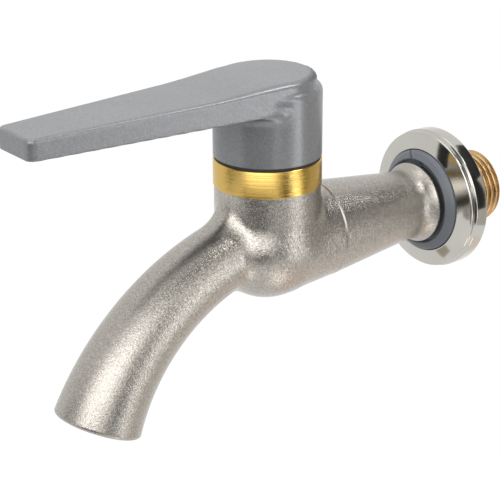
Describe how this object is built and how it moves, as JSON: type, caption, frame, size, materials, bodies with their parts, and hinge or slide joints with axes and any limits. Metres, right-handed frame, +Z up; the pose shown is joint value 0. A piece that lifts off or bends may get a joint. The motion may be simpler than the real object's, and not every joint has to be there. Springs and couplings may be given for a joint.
{
  "type": "outdoor tap",
  "caption": "Wall-mounted outdoor tap with a down-curved spout, a quarter-turn lever over a ball valve, a bright bonnet ring, a round wall rosette and a threaded inlet.",
  "frame": {"origin": "on the axis of the inlet pipe, in the plane of the wall that the rosette's gasket lies on", "axes": "+Y along the inlet pipe into the wall, +Z up, -Y out of the wall towards the user; the lever at rest points to -Y"},
  "size_m": [0.04, 0.1531, 0.0883],
  "materials": {
    "cast_nickel": "blasted brass casting with satin nickel plating",
    "tube_nickel": "blasted brass with satin nickel plating, bare at the thread",
    "seal_rubber": "moulded",
    "seat_plastic": "turned white seat plastic",
    "ball_chrome": "chrome-plated and polished brass",
    "spindle_brass": "turned",
    "bonnet_brass": "fine turned, clear coated",
    "washer_steel": "stamped stainless steel",
    "slip_black": "moulded",
    "lever_paint": "die-cast, fine silver-grey coating",
    "rosette_chrome": "spun brass, polished and plated",
    "ring_plastic": "moulded grey plastic"
  },
  "bodies": {
    "tap_body": {"cast_body": "cast_nickel", "inlet_tube": "tube_nickel", "joint_oring": "seal_rubber", "front_seat": "seat_plastic", "rear_seat": "seat_plastic", "seat_orings": "seal_rubber", "lower_washer": "seat_plastic", "upper_washer": "seat_plastic", "bonnet": "bonnet_brass", "bonnet_seal": "seal_rubber", "slip_washer": "slip_black", "rosette": "rosette_chrome", "split_ring": "ring_plastic", "wall_gasket": "seal_rubber"},
    "handle": {"spindle": "spindle_brass", "spindle_orings": "seal_rubber", "stop_washer": "washer_steel", "circlip": "washer_steel", "lever": "lever_paint", "grub_screw": "washer_steel"},
    "ball": {"ball": "ball_chrome"}
  },
  "joints": [
    {"name": "lever_turn", "type": "hinge", "parent": "tap_body", "child": "handle", "pos_m": [0, -0.063, 0], "axis": [0, 0, -1], "range_deg": [0, 90]},
    {"name": "ball_turn", "type": "hinge", "parent": "tap_body", "child": "ball", "pos_m": [0, -0.063, 0], "axis": [0, 0, -1], "range_deg": [0, 90]}
  ],
  "couplings": [
    {"joint": "ball_turn", "follows": "lever_turn", "ratio": 1}
  ]
}
